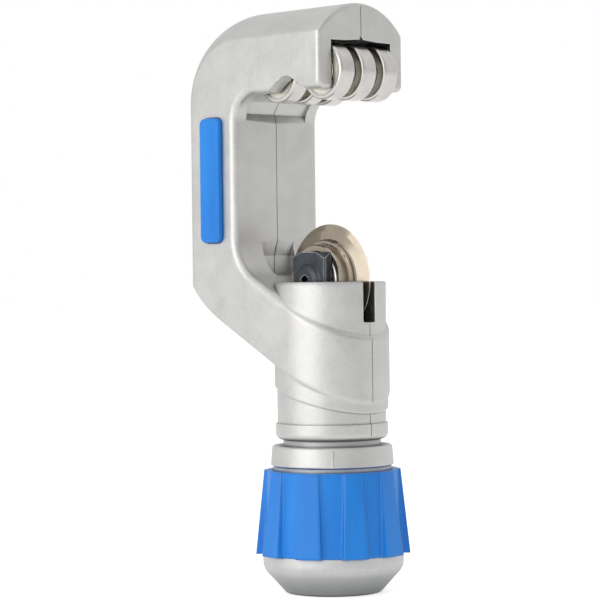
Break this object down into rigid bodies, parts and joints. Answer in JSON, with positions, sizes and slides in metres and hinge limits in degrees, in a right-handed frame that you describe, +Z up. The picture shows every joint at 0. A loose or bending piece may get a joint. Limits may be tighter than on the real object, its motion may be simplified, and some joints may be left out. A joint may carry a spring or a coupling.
{
  "type": "pipe cutter",
  "caption": "Roller-type pipe cutter: C-shaped cast frame with bearing rollers, cutting wheel on a sliding fork, and a ribbed feed knob.",
  "frame": {"origin": "centre of the flat end of the knob, on the feed-screw axis", "axes": "+Z up the feed screw towards the rollers, +X towards the open side of the C-shaped frame, Y across the frame, along the roller pins"},
  "size_m": [0.0624, 0.039, 0.146],
  "materials": {
    "cast_alloy": "matte die-cast",
    "blue_plastic": "satin moulded",
    "bearing_steel": "ground and polished",
    "shield_steel": "pressed sheet",
    "wheel_steel": "polished hardened steel",
    "blackened_steel": "black oxide",
    "zinc_steel": "zinc plated",
    "bronze": "plain",
    "seal_rubber": "matte"
  },
  "bodies": {
    "frame": {"frame_casting": "cast_alloy", "left_side_insert": "blue_plastic", "right_side_insert": "blue_plastic", "front_roller_pin": "bearing_steel", "rear_roller_pin": "bearing_steel", "roller_spacers": "zinc_steel", "roller_shims": "zinc_steel", "o_ring": "seal_rubber", "thrust_washer": "bronze", "knob_washer": "zinc_steel", "front_left_roller_inner_ring": "bearing_steel", "front_middle_roller_inner_ring": "bearing_steel", "front_right_roller_inner_ring": "bearing_steel", "rear_left_roller_inner_ring": "bearing_steel", "rear_middle_roller_inner_ring": "bearing_steel", "rear_right_roller_inner_ring": "bearing_steel"},
    "knob": {"feed_screw": "zinc_steel", "knob_core": "cast_alloy", "knob_screw": "zinc_steel", "end_plug": "cast_alloy", "grip_sleeve": "blue_plastic"},
    "carriage": {"carriage": "blackened_steel", "guide_key": "zinc_steel", "wheel_axle_screw": "blackened_steel", "wheel_shims": "zinc_steel", "wheel_bearing_inner_rings": "bearing_steel"},
    "cutting_wheel": {"cutter_wheel": "wheel_steel", "wheel_bearing_outer_rings": "bearing_steel", "wheel_bearing_shields": "shield_steel"},
    "wheel_balls": {"wheel_bearing_balls": "bearing_steel", "wheel_bearing_cages": "bronze"},
    "front_left_roller": {"front_left_roller_outer_ring": "bearing_steel", "front_left_roller_shields": "shield_steel"},
    "front_left_balls": {"front_left_roller_balls": "bearing_steel", "front_left_roller_cage": "bronze"},
    "front_middle_roller": {"front_middle_roller_outer_ring": "bearing_steel", "front_middle_roller_shields": "shield_steel"},
    "front_middle_balls": {"front_middle_roller_balls": "bearing_steel", "front_middle_roller_cage": "bronze"},
    "front_right_roller": {"front_right_roller_outer_ring": "bearing_steel", "front_right_roller_shields": "shield_steel"},
    "front_right_balls": {"front_right_roller_balls": "bearing_steel", "front_right_roller_cage": "bronze"},
    "rear_left_roller": {"rear_left_roller_outer_ring": "bearing_steel", "rear_left_roller_shields": "shield_steel"},
    "rear_left_balls": {"rear_left_roller_balls": "bearing_steel", "rear_left_roller_cage": "bronze"},
    "rear_middle_roller": {"rear_middle_roller_outer_ring": "bearing_steel", "rear_middle_roller_shields": "shield_steel"},
    "rear_middle_balls": {"rear_middle_roller_balls": "bearing_steel", "rear_middle_roller_cage": "bronze"},
    "rear_right_roller": {"rear_right_roller_outer_ring": "bearing_steel", "rear_right_roller_shields": "shield_steel"},
    "rear_right_balls": {"rear_right_roller_balls": "bearing_steel", "rear_right_roller_cage": "bronze"}
  },
  "joints": [
    {"name": "knob_turn", "type": "hinge", "parent": "frame", "child": "knob", "pos_m": [0, 0, 0], "axis": [0, 0, 1], "range_deg": [0, 7560]},
    {"name": "carriage_feed", "type": "slide", "parent": "frame", "child": "carriage", "axis": [0, 0, 1], "range_m": [0, 0.0315]},
    {"name": "wheel_spin", "type": "hinge", "parent": "carriage", "child": "cutting_wheel", "pos_m": [0, 0, 0.0777], "axis": [0, 1, 0], "continuous": true},
    {"name": "wheel_ball_orbit", "type": "hinge", "parent": "carriage", "child": "wheel_balls", "pos_m": [0, 0, 0.0777], "axis": [0, 1, 0], "continuous": true},
    {"name": "front_left_roller_spin", "type": "hinge", "parent": "frame", "child": "front_left_roller", "pos_m": [0.008, -0.0075, 0.1291], "axis": [0, 1, 0], "continuous": true},
    {"name": "front_left_ball_orbit", "type": "hinge", "parent": "frame", "child": "front_left_balls", "pos_m": [0.008, -0.0075, 0.1291], "axis": [0, 1, 0], "continuous": true},
    {"name": "front_middle_roller_spin", "type": "hinge", "parent": "frame", "child": "front_middle_roller", "pos_m": [0.008, 0, 0.1291], "axis": [0, 1, 0], "continuous": true},
    {"name": "front_middle_ball_orbit", "type": "hinge", "parent": "frame", "child": "front_middle_balls", "pos_m": [0.008, 0, 0.1291], "axis": [0, 1, 0], "continuous": true},
    {"name": "front_right_roller_spin", "type": "hinge", "parent": "frame", "child": "front_right_roller", "pos_m": [0.008, 0.0075, 0.1291], "axis": [0, 1, 0], "continuous": true},
    {"name": "front_right_ball_orbit", "type": "hinge", "parent": "frame", "child": "front_right_balls", "pos_m": [0.008, 0.0075, 0.1291], "axis": [0, 1, 0], "continuous": true},
    {"name": "rear_left_roller_spin", "type": "hinge", "parent": "frame", "child": "rear_left_roller", "pos_m": [-0.008, -0.0075, 0.1291], "axis": [0, 1, 0], "continuous": true},
    {"name": "rear_left_ball_orbit", "type": "hinge", "parent": "frame", "child": "rear_left_balls", "pos_m": [-0.008, -0.0075, 0.1291], "axis": [0, 1, 0], "continuous": true},
    {"name": "rear_middle_roller_spin", "type": "hinge", "parent": "frame", "child": "rear_middle_roller", "pos_m": [-0.008, 0, 0.1291], "axis": [0, 1, 0], "continuous": true},
    {"name": "rear_middle_ball_orbit", "type": "hinge", "parent": "frame", "child": "rear_middle_balls", "pos_m": [-0.008, 0, 0.1291], "axis": [0, 1, 0], "continuous": true},
    {"name": "rear_right_roller_spin", "type": "hinge", "parent": "frame", "child": "rear_right_roller", "pos_m": [-0.008, 0.0075, 0.1291], "axis": [0, 1, 0], "continuous": true},
    {"name": "rear_right_ball_orbit", "type": "hinge", "parent": "frame", "child": "rear_right_balls", "pos_m": [-0.008, 0.0075, 0.1291], "axis": [0, 1, 0], "continuous": true}
  ],
  "couplings": [
    {"joint": "knob_turn", "follows": "carriage_feed", "rad_per_m": 4188.7},
    {"joint": "wheel_ball_orbit", "follows": "wheel_spin", "ratio": 0.6143},
    {"joint": "front_left_ball_orbit", "follows": "front_left_roller_spin", "ratio": 0.6218},
    {"joint": "front_middle_ball_orbit", "follows": "front_middle_roller_spin", "ratio": 0.6218},
    {"joint": "front_right_ball_orbit", "follows": "front_right_roller_spin", "ratio": 0.6218},
    {"joint": "rear_left_ball_orbit", "follows": "rear_left_roller_spin", "ratio": 0.6218},
    {"joint": "rear_middle_ball_orbit", "follows": "rear_middle_roller_spin", "ratio": 0.6218},
    {"joint": "rear_right_ball_orbit", "follows": "rear_right_roller_spin", "ratio": 0.6218}
  ]
}
